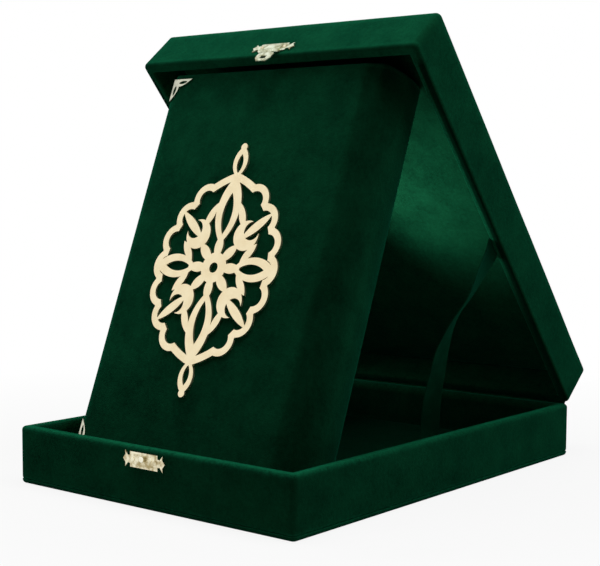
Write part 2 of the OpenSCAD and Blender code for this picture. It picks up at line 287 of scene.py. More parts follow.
def pile_group(name: str) -> Group:
    """Builds the velvet pile effect: a colour with nap strokes, lighter where marks are positive
    (painted highlight, partly rubbed pile) and darker where they are negative (painted shade), and a
    height.

    Args:
        name: The group's name.

    Returns:
        The new node group.
    """
    kit, source, out = new_group(
        name,
        "ShaderNodeTree",
        [
            ("Deep", "NodeSocketColor", rgb(0.0, 0.01, 0.005)),
            ("Lit", "NodeSocketColor", rgb(0.0, 0.08, 0.03)),
            ("Wear and painted highlight", "NodeSocketColor", rgb(0.01, 0.12, 0.06)),
            ("Fold", "NodeSocketFloat", 0.0),
        ],
        [("Color", "NodeSocketColor"), ("Height", "NodeSocketFloat")],
    )
    # Near-black colour that negative marks mix in: painted shade.
    painted_shade_tone = rgb(0.0003, 0.004, 0.0018)
    place = kit.place()
    pile = kit.noise(place, 1500.0, rough=0.6)
    tuft = kit.noise(place, 420.0, rough=0.55)
    patch = kit.noise(place, 60.0, detail=3.0, rough=0.6)
    brushed = {"Vector": place, "Location": (2.2, 9.1, 4.4), "Scale": (7.0, 13.0, 22.0)}
    stroke = kit.noise(kit.out("ShaderNodeMapping", brushed), 1.0)
    nap = kit.total((pile, 0.3), (tuft, 0.25), (patch, 0.4), (stroke, 0.3))
    body = kit.mix(kit.spread(nap, (0.44, 0.81)), source["Deep"], source["Lit"])
    ragged = kit.spread(kit.math("ADD", tuft, pile), (0.75, 1.25), (0.25, 1.0))
    # Positive marks lighten towards the highlight colour: painted highlight, partly rubbed pile.
    wear_and_highlight = kit.mix(kit.math("MULTIPLY", source["Fold"], ragged), body, source["Wear and painted highlight"])
    # Negative marks darken towards it: painted shade.
    painted_shade_mix = kit.mix(kit.math("MULTIPLY", source["Fold"], -1.0), wear_and_highlight, painted_shade_tone)
    kit.fill(out, {"Color": painted_shade_mix, "Height": kit.total((pile, 0.6), (tuft, 0.4))})
    return kit.tree


def mottle_group(name: str) -> Group:
    """Builds a fine and a broad mottle.

    Args:
        name: The group's name.

    Returns:
        The new node group.
    """
    kit, source, out = new_group(
        name,
        "ShaderNodeTree",
        [("Fine", "NodeSocketFloat", 900.0), ("Broad", "NodeSocketFloat", 60.0)],
        [("Fine", "NodeSocketFloat"), ("Broad", "NodeSocketFloat")],
    )
    place = kit.place()
    for label, detail in (("Fine", 2.0), ("Broad", 4.0)):
        kit.fill(out, {label: kit.noise(place, source[label], detail)})
    return kit.tree


# Finishes


@dataclass(frozen=True)
class Finish:
    """A finish that makes its material once."""

    name: str
    slot: Slot

    def material(self) -> bpy.types.Material:
        """Finds the material, or makes it on first use.

        Returns:
            The material of this finish.
        """
        made = bpy.data.materials.get(self.name)
        if made is None:
            made = bpy.data.materials.new(self.name)
            kit = Tree.cleared(made)
            shader = kit.out("ShaderNodeBsdfPrincipled", self.values(kit))
            kit.add("ShaderNodeOutputMaterial", {"Surface": shader})
        return made

    def values(self, kit: Tree) -> Inputs:
        """Gives the shader's values and patterns by input name."""
        raise NotImplementedError


@dataclass(frozen=True)
class Velvet(Finish):
    """Short-pile velvet, lighter along edges with positive marks (painted highlight, partly rubbed
    pile) and darker with negative marks (painted shade).
    """

    deep: Colour = rgb(0.001, 0.014, 0.0058)
    lit: Colour = rgb(0.0034, 0.05, 0.02)
    wear_and_highlight: Colour = rgb(0.004, 0.09, 0.039)
    sheen: float = 0.22

    def values(self, kit: Tree) -> Inputs:
        """Gives the shader's values and patterns.

        Args:
            kit: The helper on the material's tree.

        Returns:
            Values and output sockets, by input name.
        """
        tones = {"Deep": self.deep, "Lit": self.lit, "Wear and painted highlight": self.wear_and_highlight}
        pile = kit.shared("velvet_pile", pile_group, {**tones, "Fold": kit.mark(WEAR_AND_PAINTED_LIGHT)})
        return {
            "Base Color": pile["Color"],
            "Roughness": 0.92,
            "Specular IOR Level": 0.0,
            "Sheen Weight": self.sheen,
            "Sheen Roughness": 0.38,
            "Sheen Tint": rgb(0.01, 0.5, 0.27),
            "Normal": kit.bump(pile["Height"], 0.0006, 0.55),
        }


@dataclass(frozen=True)
class Satin(Finish):
    """Woven satin ribbon with a fine rib across."""

    base: Colour = rgb(0.0008, 0.015, 0.0066)
    light: Colour = rgb(0.0018, 0.03, 0.013)
    rib_mm: float = 0.7

    def values(self, kit: Tree) -> Inputs:
        """Gives the shader's values and patterns.

        Args:
            kit: The helper on the material's tree.

        Returns:
            Values and output sockets, by input name.
        """
        turns = 2.0 * math.pi / (self.rib_mm * MM)
        rib = kit.math("SINE", kit.math("MULTIPLY", kit.mark(ALONG), turns))
        grain = kit.mottle(1600.0, 90.0)
        level = kit.spread(kit.total((rib, 0.12), (grain["Broad"], 1.0)), (0.35, 0.7))
        return {
            "Base Color": kit.mix(level, self.base, self.light),
            "Roughness": 0.7,
            "Specular IOR Level": 0.0,
            "Sheen Weight": 0.12,
            "Sheen Tint": rgb(0.02, 0.5, 0.28),
            "Anisotropic": 0.4,
            "Normal": kit.bump(rib, 0.00008, 0.5),
        }


@dataclass(frozen=True)
class Metal(Finish):
    """Stamped sheet metal with small dents and dulled patches."""

    base: Colour = rgb(0.88, 0.82, 0.6)
    dull: Colour = rgb(0.42, 0.34, 0.17)
    metallic: float = 1.0
    shine: Spot = (0.2, 0.42)
    dent: float = 0.35
    fine: float = 700.0
    broad: float = 130.0

    def values(self, kit: Tree) -> Inputs:
        """Gives the shader's values and patterns.

        Args:
            kit: The helper on the material's tree.

        Returns:
            Values and output sockets, by input name.
        """
        grain = kit.mottle(self.fine, self.broad)
        patch = kit.spread(grain["Broad"], (0.4, 0.64))
        return {
            "Base Color": kit.mix(patch, self.base, self.dull),
            "Roughness": kit.spread(grain["Broad"], (0.3, 0.7), self.shine),
            "Metallic": self.metallic,
            "Normal": kit.bump(grain["Fine"], 0.0003, self.dent),
        }


@dataclass(frozen=True)
class Paper(Finish):
    """Paper leaves or sheets: warm, matt, a little uneven from leaf to leaf."""

    base: Colour = rgb(0.78, 0.69, 0.5)
    shade: Colour = rgb(0.56, 0.47, 0.31)

    def values(self, kit: Tree) -> Inputs:
        """Gives the shader's values and patterns.

        Args:
            kit: The helper on the material's tree.

        Returns:
            Values and output sockets, by input name.
        """
        grain = kit.mottle(1100.0, 45.0)
        tone = kit.total((kit.mark(ALONG), 0.5), (grain["Broad"], 1.0))
        return {
            "Base Color": kit.mix(kit.spread(tone, (0.45, 1.1)), self.base, self.shade),
            "Roughness": 0.82,
            "Normal": kit.bump(grain["Fine"], 0.00015, 0.4),
        }


@dataclass(frozen=True)
class Plain(Finish):
    """The plain colour of a packed slot, kept as the frame brings it along."""

    def material(self) -> bpy.types.Material:
        """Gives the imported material."""
        return bpy.data.materials[self.name]


@dataclass(frozen=True)
class Fibreboard(Finish):
    """Raw pressed board under the covers."""

    base: Colour = rgb(0.42, 0.3, 0.18)
    fleck: Colour = rgb(0.25, 0.17, 0.1)

    def values(self, kit: Tree) -> Inputs:
        """Gives the shader's values and patterns.

        Args:
            kit: The helper on the material's tree.

        Returns:
            Values and output sockets, by input name.
        """
        grain = kit.mottle(1300.0, 220.0)
        level = kit.spread(grain["Fine"], (0.35, 0.65))
        return {
            "Base Color": kit.mix(level, self.base, self.fleck),
            "Roughness": 0.85,
            "Normal": kit.bump(grain["Fine"], 0.0002, 0.5),
        }


BOX_VELVET = Velvet("box_velvet", Slot.VELVET)
BOOK_VELVET = Velvet("book_velvet", Slot.VELVET, wear_and_highlight=rgb(0.003, 0.075, 0.033))
LINING_VELVET = Velvet("lining_velvet", Slot.LINING)
# Darker copy of the lining velvet for the tray floor: painted shade for the deep interior.
FLOOR_VELVET_PAINTED_SHADE = Velvet(
    "floor_velvet_painted_shade",
    Slot.LINING,
    deep=rgb(0.0006, 0.007, 0.003),
    lit=rgb(0.0016, 0.021, 0.009),
    sheen=0.08,
)
RIBBON_SATIN = Satin("ribbon_satin", Slot.RIBBON)
BRASS = Metal("stamped_brass", Slot.BRASS, broad=300.0)
# Cooler, greenish base for the hasp; its green cast is painted reflection of the velvet around it.
HASP_BRASS = Metal(
    "hasp_brass",
    Slot.BRASS,
    base=rgb(0.8, 0.85, 0.66),
    dull=rgb(0.36, 0.36, 0.2),
    broad=300.0,
)
# Brighter knob metal: partly polish, partly painted highlight.
KNOB_BRASS = Metal(
    "polished_brass_painted_highlight",
    Slot.BRASS,
    base=rgb(0.96, 0.93, 0.78),
    dull=rgb(0.86, 0.8, 0.58),
    shine=(0.25, 0.35),
    dent=0.1,
)
PALE_GOLD = Metal(
    "pale_gold_sheet",
    Slot.GOLD,
    base=rgb(0.9, 0.78, 0.52),
    dull=rgb(0.86, 0.73, 0.47),
    metallic=0.95,
    shine=(0.3, 0.42),
    dent=0.05,
)
# Darker, greyer copy of the pale gold for the corners: painted shade and painted reflection of dark
# surroundings.
CORNER_METAL_PAINTED_SHADE = Metal(
    "corner_metal_painted_shade",
    Slot.GOLD,
    base=rgb(0.66, 0.66, 0.52),
    dull=rgb(0.46, 0.47, 0.37),
    dent=0.08,
)
LEAVES = Paper("page_leaves", Slot.PAGES)
ENDPAPER = Paper("endpaper_sheet", Slot.ENDPAPER, rgb(0.8, 0.72, 0.55), rgb(0.7, 0.6, 0.42))
BAND_THREAD = Plain("band_thread", Slot.THREAD)
RAW_BOARD = Fibreboard("raw_board", Slot.BOARD)
BINDER_CARD = Fibreboard("binder_card", Slot.CARD, rgb(0.4, 0.34, 0.26), rgb(0.28, 0.23, 0.17))


# Sizes in millimetres, as in the part's source


@dataclass(frozen=True)
class BoxSizes:
    """Sizes of tray and lid, the lid drawn closed."""

    half_w: float = 105.0
    half_d: float = 143.0
    corner_r: float = 3.5
    wall: float = 6.5
    underside: float = 3.0
    floor_low: float = 6.0
    floor_z: float = 7.5
    tray_h: float = 34.0
    rim_z: float = 34.4
    lid_top: float = 64.4
    panel_z: float = 58.9
    pad_z: float = 52.9
    fold_y: float = 143.0
    fold_z: float = 34.2
    lid_rest: float = 50.29145
    wall_pitch: float = 4.5
    rim_pitch: float = 1.0
    inner_round: float = 1.4

    def lid_pose(self) -> Matrix:
        """Swings the closed lid about the fold to where it rests.

        Returns:
            The turn, in metres.
        """
        fold = Vector((0.0, self.fold_y, self.fold_z)) * MM
        turn = Matrix.Rotation(math.radians(-self.lid_rest), 4, "X")
        return Matrix.Translation(fold) @ turn @ Matrix.Translation(-fold)

    def lid_point(self, x: float, out: float, up: float) -> Vector:
        """Gives a point of the resting lid from its distances along and over the fold."""
        return self.lid_pose() @ (Vector((x, self.fold_y - out, self.fold_z + up)) * MM) / MM


@dataclass(frozen=True)
class BookSizes:
    """Sizes of the book, drawn flat on its back."""

    fore_x: float = -82.0
    length: float = 239.0
    thick: float = 44.0
    cover: float = 4.0
    edge: float = 1.95
    square: float = 4.0
    back_c: float = 36.0
    back_r: float = 42.5
    cloth_in: float = 44.4
    cloth_out: float = 46.0
    page_end: float = 74.5
    hollow: float = 2.6
    paper: float = 0.3
    foot: Point = (2.0, -81.4134, 9.55)
    lean: float = 69.0

    def pose(self) -> Matrix:
        """Leans the book from flat to where it stands.

        Returns:
            The move and turn, in metres.
        """
        turn = Matrix.Rotation(math.radians(self.lean), 4, "X")
        start = Matrix.Translation(Vector((0.0, -self.edge, -self.edge)) * MM)
        return Matrix.Translation(Vector(self.foot) * MM) @ turn @ start


BOX = BoxSizes()
BOOK = BookSizes()


# Mesh helpers


def placed(name: str, data: bpy.types.ID) -> Piece:
    """Puts an object of some data into the scene.

    Args:
        name: The object's name.
        data: Its mesh, lamp or camera.

    Returns:
        The new object, at the origin.
    """
    piece = bpy.data.objects.new(name, data)
    bpy.context.scene.collection.objects.link(piece)
    return piece


def smooth_piece(name: str, bm: bmesh.types.BMesh, crease: float) -> Piece:
    """Makes a smooth object of an edited mesh, which is freed.

    Args:
        name: The object's name.
        bm: The edited mesh, in metres.
        crease: Angle in degrees from which an edge stays sharp.

    Returns:
        The new object.
    """
    mesh = bpy.data.meshes.new(name)
    bm.to_mesh(mesh)
    bm.free()
    mesh.shade_smooth()
    mesh.set_sharp_from_angle(angle=math.radians(crease))
    return placed(name, mesh)


def finish_piece(piece: Piece, finish: Finish, body: Body | None, replaced: Sequence[str]) -> None:
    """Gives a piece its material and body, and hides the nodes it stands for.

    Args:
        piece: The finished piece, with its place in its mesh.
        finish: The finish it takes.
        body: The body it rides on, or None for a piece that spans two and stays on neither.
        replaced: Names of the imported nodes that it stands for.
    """
    piece.data.materials.clear()
    piece.data.materials.append(finish.material())
    if body is not None:
        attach(piece, body.value)
    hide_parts(*replaced)
    LOG.info("%s: %d faces", piece.name, len(piece.data.polygons))


@dataclass
class Draft:
    """Collects points and faces in millimetres, with a mark on each point."""

    points: list[Point] = field(default_factory=list)
    marks: list[float] = field(default_factory=list)
    faces: list[tuple[int, ...]] = field(default_factory=list)
    merge: float = 0.002
    least: float = 0.001
    crease: float = 50.0

    def row(self, points: Iterable[Point], mark: float | Sequence[float] = 0.0) -> list[int]:
        """Adds a row of points.

        Args:
            points: The points, in order.
            mark: One mark for all, or one for each point.

        Returns:
            The points' numbers.
        """
        first = len(self.points)
        self.points.extend(tuple(p) for p in points)
        count = len(self.points) - first
        self.marks.extend([mark] * count if isinstance(mark, float) else mark)
        return list(range(first, first + count))

    def skin(self, rings: Sequence[Sequence[int]]) -> None:
        """Joins neighbouring rings with four-sided faces.

        Args:
            rings: Rings of point numbers, all of one length.
        """
        for low, high in zip(rings, rings[1:]):
            for i in range(len(low)):
                j = (i + 1) % len(low)
                self.faces.append((low[i], low[j], high[j], high[i]))

    def tube(self, rings: Sequence[Sequence[int]]) -> None:
        """Joins rings and closes the first and the last with a face each."""
        self.skin(rings)
        self.faces += [tuple(rings[0]), tuple(rings[-1])]

    def build(
        self,
        name: str,
        pose: Matrix,
        attribute: str = WEAR_AND_PAINTED_LIGHT,
        ripple: Callable[[Vector], float] | None = None,
    ) -> Piece:
        """Makes the object, merged, turned outwards and smooth.

        Args:
            name: The piece's name.
            pose: Where it stands, in metres.
            attribute: Name of the attribute that keeps the marks.
            ripple: Height in millimetres to add along the normal at a point.

        Returns:
            The new object, with its place in its mesh.
        """
        bm = bmesh.new()
        layer = bm.verts.layers.float.new(attribute)
        for point, mark in zip(self.points, self.marks):
            bm.verts.new(point)[layer] = mark
        bm.verts.ensure_lookup_table()
        for face in self.faces:
            bm.faces.new([bm.verts[i] for i in face])
        bmesh.ops.remove_doubles(bm, verts=bm.verts[:], dist=self.merge)
        bmesh.ops.dissolve_degenerate(bm, dist=self.least, edges=bm.edges[:])
        bmesh.ops.recalc_face_normals(bm, faces=bm.faces[:])
        if bm.calc_volume(signed=True) < 0.0:
            bmesh.ops.reverse_faces(bm, faces=bm.faces[:])
        bm.normal_update()
        if ripple:
            for vert in bm.verts:
                vert.co += vert.normal * ripple(vert.co)
        bm.transform(pose @ Matrix.Diagonal((MM, MM, MM, 1.0)))
        return smooth_piece(name, bm, self.crease)


def swell(size: float, height: float, seed: float) -> Callable[[Vector], float]:
    """Makes a gentle unevenness of the cloth.

    Args:
        size: Width of one swelling in millimetres.
        height: Its height in millimetres.
        seed: Shifts the pattern.

    Returns:
        A function from a point to a height.
    """

    def at(point: Vector) -> float:
        """Gives the height at a point.

        Args:
            point: The point in millimetres.

        Returns:
            The height in millimetres.
        """
        broad = noise.noise(point / size + Vector((seed, 0.3, 0.7)))
        small = noise.noise(point / (size * 0.3) + Vector((0.2, seed, 0.5)))
        return height * (0.75 * broad + 0.25 * small)

    return at


def arc(centre: Spot, radius: float, start: float, end: float, steps: int) -> list[Spot]:
    """Gives points on an arc.

    Args:
        centre: The arc's centre.
        radius: Its radius.
        start: Angle of the first point in degrees.
        end: Angle of the last point in degrees.
        steps: How many steps lie between both.

    Returns:
        The points, one more than the steps.
    """
    turns = [math.radians(start + (end - start) * i / steps) for i in range(steps + 1)]
    return [(centre[0] + radius * math.cos(a), centre[1] + radius * math.sin(a)) for a in turns]


def circle(count: int) -> list[Spot]:
    """Gives evenly spread points of the unit circle."""
    return arc((0.0, 0.0), 1.0, 0.0, 360.0, count)[:-1]


def steps_between(start: float, end: float, pitch: float) -> list[float]:
    """Gives even steps between two values, both left out."""
    count = max(1, round(abs(end - start) / pitch))
    return [start + (end - start) * i / count for i in range(1, count)]


@dataclass(frozen=True)
class Rounded:
    """A rounded rectangle that profiles are swept round."""

    half_w: float
    half_d: float
    corner_r: float
    least_r: float = 0.5
    arc_steps: int = 6
    pitch: float = 5.0

    def ring(self, inset: float, height: float) -> list[Point]:
        """Gives the outline at an inset, always with the same count of points.

        Args:
            inset: How far inside the outline the ring lies.
            height: Height of the ring.

        Returns:
            The ring's points.
        """
        wide, deep = self.half_w - inset, self.half_d - inset
        radius = min(max(self.corner_r - inset, self.least_r), wide, deep)
        bends = []
        for turn, (sx, sy) in enumerate(((1, 1), (-1, 1), (-1, -1), (1, -1))):
            centre = (sx * (wide - radius), sy * (deep - radius))
            bends.append(arc(centre, radius, 90.0 * turn, 90.0 * turn + 90.0, self.arc_steps))
        points: list[Point] = []
        for turn, bend in enumerate(bends):
            points += [(x, y, height) for x, y in bend]
            (x0, y0), (x1, y1) = bend[-1], bends[(turn + 1) % 4][0]
            steps = int(2 * (self.half_d if turn % 2 else self.half_w) / self.pitch)
            for t in (i / steps for i in range(1, steps)):
                points.append((x0 + (x1 - x0) * t, y0 + (y1 - y0) * t, height))
        return points

    def sweep(self, profile: Sequence[Point], cap: Cap) -> Draft:
        """Sweeps a profile of inset, height and mark round the outline.

        Args:
            profile: The profile's points.
            cap: Whether its ends join each other or are filled.

        Returns:
            The draft of the shell.
        """
        draft = Draft()
        rings = [draft.row(self.ring(inset, height), mark) for inset, height, mark in profile]
        if cap is Cap.LOOP:
            draft.skin(rings + rings[:1])
        else:
            draft.tube(rings)
        return draft


def from_nodes(source: Piece, tree: Group, values: dict[str, Any], name: str) -> Piece:
    """Runs a geometry tree on an object and keeps the result as a plain mesh.

    Args:
        source: The object that carries the tree; it is removed.
        tree: The geometry node tree.
        values: Values of the tree's inputs, by name.
        name: The new piece's name.

    Returns:
        The new piece.
    """
    modifier = source.modifiers.new("grow", "NODES")
    modifier.node_group = tree
    for item in tree.interface.items_tree:
        if item.item_type == "SOCKET" and item.in_out == "INPUT" and item.name in values:
            modifier[item.identifier] = values[item.name]
    bpy.context.view_layer.update()
    graph = bpy.context.evaluated_depsgraph_get()
    mesh = bpy.data.meshes.new_from_object(source.evaluated_get(graph))
    mesh.name = name
    source.modifiers.remove(modifier)
    bpy.data.objects.remove(source)
    return placed(name, mesh)


def end_tree(kit: Tree, source: Any, out: Node, instances: Socket) -> Group:
    """Ends a geometry tree: instances become real and take the material.

    Args:
        kit: The helper on the tree.
        source: The sockets that the tree is fed by, Material among them.
        out: The tree's output node.
        instances: The instances.

    Returns:
        The tree.
    """
    real = kit.out("GeometryNodeRealizeInstances", {"Geometry": instances})
    dressed = {"Geometry": real, "Material": source["Material"]}
    kit.fill(out, {"Geometry": kit.out("GeometryNodeSetMaterial", dressed)})
    return kit.tree


def carrier(name: str, points: Sequence[Point], aims: Sequence[Point] = ()) -> Piece:
    """Makes an object of loose points.

    Args:
        name: The object's name.
        points: The points in metres.
        aims: The direction that each point aims at, or none.

    Returns:
        The new object.
    """
    mesh = bpy.data.meshes.new(name)
    mesh.from_pydata([tuple(p) for p in points], [], [])
    if aims:
        made = mesh.attributes.new("aim", "FLOAT_VECTOR", "POINT")
        made.data.foreach_set("vector", [c for aim in aims for c in aim])
    return placed(name, mesh)


# The box


@dataclass
class Tray:
    """The tray's velvet, its underside and the lining on its floor."""

    box: BoxSizes = BOX
    outer_round: float = 2.2
    foot_round: float = 2.4
    least_corner: float = 1.2
    seam: float = 0.04
    lining_in: float = 0.35

    def outline(self, inset: float = 0.0) -> Rounded:
        """Gives the outline of the tray, or one inside it."""
        b = self.box
        return Rounded(b.half_w - inset, b.half_d - inset, max(b.corner_r - inset, self.least_corner))

    def walls(self) -> None:
        """Makes the cover over walls and rim."""
        b, low = self.box, self.box.underside + self.seam
        top, far = b.tray_h - self.outer_round, b.wall - b.inner_round
        # Lighter along the foot edge: painted highlight, partly rubbed pile.
        profile: list[Point] = [(0.75, low, 0.6), (0.3, low + 0.25, 0.9), (0.06, low + 0.8, 0.6)]
        profile.append((0.0, low + 1.6, 0.15))
        profile += [(0.0, z, 0.0) for z in steps_between(low + 1.6, top - 2.5, b.wall_pitch)]
        profile += [(0.0, top - 2.5, 0.0), (0.0, top - 1.0, 0.05)]
        # Painted highlight, partly rubbed pile, up the outer rounding and across the rim.
        curve = arc((self.outer_round, top), self.outer_round, 180.0, 90.0, 6)
        profile += [(x, z, 0.2 + 0.8 * i / 6) for i, (x, z) in enumerate(curve)]
        across = steps_between(self.outer_round, far, b.rim_pitch)
        profile += [(d, b.tray_h - 0.05, 0.7) for d in across]
        curve = arc((far, b.tray_h - b.inner_round), b.inner_round, 90.0, 0.0, 5)
        profile += [(x, z, 0.5) for x, z in curve]
        inside = steps_between(b.tray_h - b.inner_round, b.floor_low, b.wall_pitch)
        # Painted shade down the inside of the walls.
        profile += [(b.wall, z, -0.45) for z in inside]
        profile += [(b.wall, b.floor_low + 0.05, 0.0), (b.wall - 0.6, low, 0.0)]
        draft = self.outline().sweep(profile, Cap.LOOP)
        piece = draft.build("tray_cover", Matrix(), ripple=swell(38.0, 0.16, 1.7))
        finish_piece(piece, BOX_VELVET, Body.TRAY, ["tray_velvet"])

    def underside(self) -> None:
        """Makes the covered sheet that the tray stands on."""
        radius, top = self.foot_round, self.box.underside - self.seam
        profile: list[Point] = [(d, 0.0, 0.0) for d in (100.0, 60.0, 30.0, 12.0, 6.0)]
        # Lighter at the rounded outer edge: painted highlight, partly rubbed pile.
        profile += [(x, z, 0.25) for x, z in arc((radius, radius), radius, 270.0, 180.0, 6)]
        profile += [(0.12, top - 0.3, 0.8), (0.6, top, 0.9)]
        profile += [(d, top, 0.0) for d in (6.0, 30.0, 100.0)]
        piece = self.outline().sweep(profile, Cap.FILL).build("tray_underside_cover", Matrix())
        finish_piece(piece, BOX_VELVET, Body.TRAY, ["tray_underside"])

    def floor(self) -> None:
        """Makes the lining on the tray's floor."""
        b = self.box
        low, high = b.floor_low + 0.02, b.floor_z
        profile: list[Point] = [(d, low, 0.0) for d in (90.0, 20.0, 0.9)]
        # Lighter along the lining's raised edge: painted highlight, partly rubbed pile.
        profile += [(self.lining_in, low + 0.4, 0.2), (0.55, high - 0.45, 0.4)]
        profile += [(1.2, high - 0.12, 0.3), (2.6, high, 0.05)]
        within = (6.0, 12.0, 18.0, 26.0, 36.0, 50.0, 66.0, 82.0, 97.0)
        profile += [(d, high, 0.0) for d in within]
        piece = self.outline(b.wall).sweep(profile, Cap.FILL).build("tray_floor_cover", Matrix())
        finish_piece(piece, FLOOR_VELVET_PAINTED_SHADE, Body.TRAY, ["tray_floor_lining"])


@dataclass
class Lid:
    """The lid's velvet and its padded lining, drawn closed and swung open."""

    box: BoxSizes = BOX
    rim_round: float = 2.2
    top_round: float = 2.5
    fuller: float = 2.8
    # Painted shade and painted light on the side rims.
    shaded: float = 3.5
    painted_shade_mark: float = -0.8
    painted_rim_light: float = 0.35
    painted_light_fade: float = 0.95
    fade_run: float = 70.0
    front_in: float = 12.0
    pad_play: float = 0.1
    pad_corner: float = 1.6

    def plumped(self, point: Point) -> Point:
        """Lets the cover stand fuller towards the front of the rim.

        Args:
            point: A point of the closed lid.

        Returns:
            The moved point.
        """
        b, (x, y, z) = self.box, point
        ahead = (b.half_d - y) / (2.0 * b.half_d)
        down = clamp((b.panel_z - z) / (b.panel_z - b.rim_z))
        return (x, y, z - self.fuller * ahead * down)

    def shade_rim(self, draft: Draft) -> None:
        """Paints shade on the outer half of the side rims, and on the inner half paints light at the
        front that fades into shade towards the back.

        Args:
            draft: The cover's draft, whose marks are changed.
        """
        b = self.box
        for i, (x, y, z) in enumerate(draft.points):
            inset = b.half_w - abs(x)
            beside = 0.5 < inset < b.wall + 0.1 and y > self.front_in - b.half_d
            if beside and z < b.rim_z + b.inner_round:
                # Painted shade on the outer half; on the inner half painted light at the front fading
                # into painted shade at the back.
                light = self.painted_rim_light - self.painted_light_fade * clamp(y / self.fade_run)
                draft.marks[i] = self.painted_shade_mark if inset < self.shaded else light

    def cover(self) -> None:
        """Makes the cover over panel, walls and rim."""
        b = self.box
        high, low = b.lid_top - self.top_round, b.rim_z + self.rim_round
        far, back = b.wall - b.inner_round, b.panel_z + 0.05
        within = (103.0, 92.0, 80.0, 68.0, 56.0, 45.0, 35.0, 26.0, 18.0, 12.0, 8.0)
        profile: list[Point] = [(d, b.lid_top, 0.0) for d in within]
        # Painted highlight, partly rubbed pile, rising towards the top edge and round it.
        profile += [(5.0, b.lid_top, 0.1), (3.6, b.lid_top, 0.35)]
        curve = arc((self.top_round, high), self.top_round, 90.0, 180.0, 7)
        lit = [0.45 + 0.45 * math.sin(math.pi * i / 7) for i in range(8)]
        profile += [(x, z, mark) for (x, z), mark in zip(curve, lit)]
        profile += [(0.0, high - 1.2, 0.3), (0.0, high - 3.0, 0.05)]
        profile += [(0.0, z, 0.0) for z in steps_between(high - 3.0, low + 3.0, b.wall_pitch)]
        profile += [(0.0, low + 3.0, 0.0), (0.0, low + 1.2, 0.1)]
        curve = arc((self.rim_round, low), self.rim_round, 180.0, 270.0, 6)
        # Painted shade on the rounding of the rim.
        lit = [0.1 - 0.35 * math.sin(math.pi * i / 6) for i in range(7)]
        profile += [(x, z, mark) for (x, z), mark in zip(curve, lit)]
        across = steps_between(self.rim_round, far, b.rim_pitch)
        profile += [(d, b.rim_z + 0.05, 0.05) for d in across]
        curve = arc((far, b.rim_z + b.inner_round), b.inner_round, 270.0, 360.0, 5)
        profile += [(x, z, 0.1) for x, z in curve]
        inside = steps_between(b.rim_z + b.inner_round, b.panel_z, b.wall_pitch)
        profile += [(b.wall, z, 0.05) for z in inside]
        profile += [(d, back, 0.0) for d in (b.wall, 30.0, 97.0)]
        draft = Rounded(b.half_w, b.half_d, b.corner_r).sweep(profile, Cap.FILL)
        self.shade_rim(draft)
        draft.points = [self.plumped(p) for p in draft.points]
        piece = draft.build("lid_cover", b.lid_pose(), ripple=swell(42.0, 0.18, 4.1))
        finish_piece(piece, BOX_VELVET, Body.LID, ["lid_velvet"])

    def lining(self) -> None:
        """Makes the padded lining, crowned and drawn in along its edge."""
        b, inset = self.box, self.box.wall + self.pad_play
        face, back = b.pad_z, b.panel_z
        profile: list[Point] = [(d, back, 0.0) for d in (90.0, 30.0, 1.5)]
        profile += [(0.3, back - 0.8, 0.0), (0.1, back - 2.2, 0.0)]
        # Painted highlight, partly rubbed pile, on the pad's crowned edge.
        profile += [(0.5, back - 3.6, 0.15), (1.5, back - 4.7, 0.3)]
        profile += [(3.2, face + 0.55, 0.25), (5.6, face + 0.24, 0.1), (9.0, face + 0.08, 0.0)]
        within = (14.0, 20.0, 28.0, 38.0, 50.0, 62.0, 74.0, 86.0, 97.0)
        profile += [(d, face, 0.0) for d in within]
        outline = Rounded(b.half_w - inset, b.half_d - inset, self.pad_corner)
        piece = outline.sweep(profile, Cap.FILL).build("lid_lining_pad", b.lid_pose())
        finish_piece(piece, LINING_VELVET, Body.LID, ["lid_lining"])


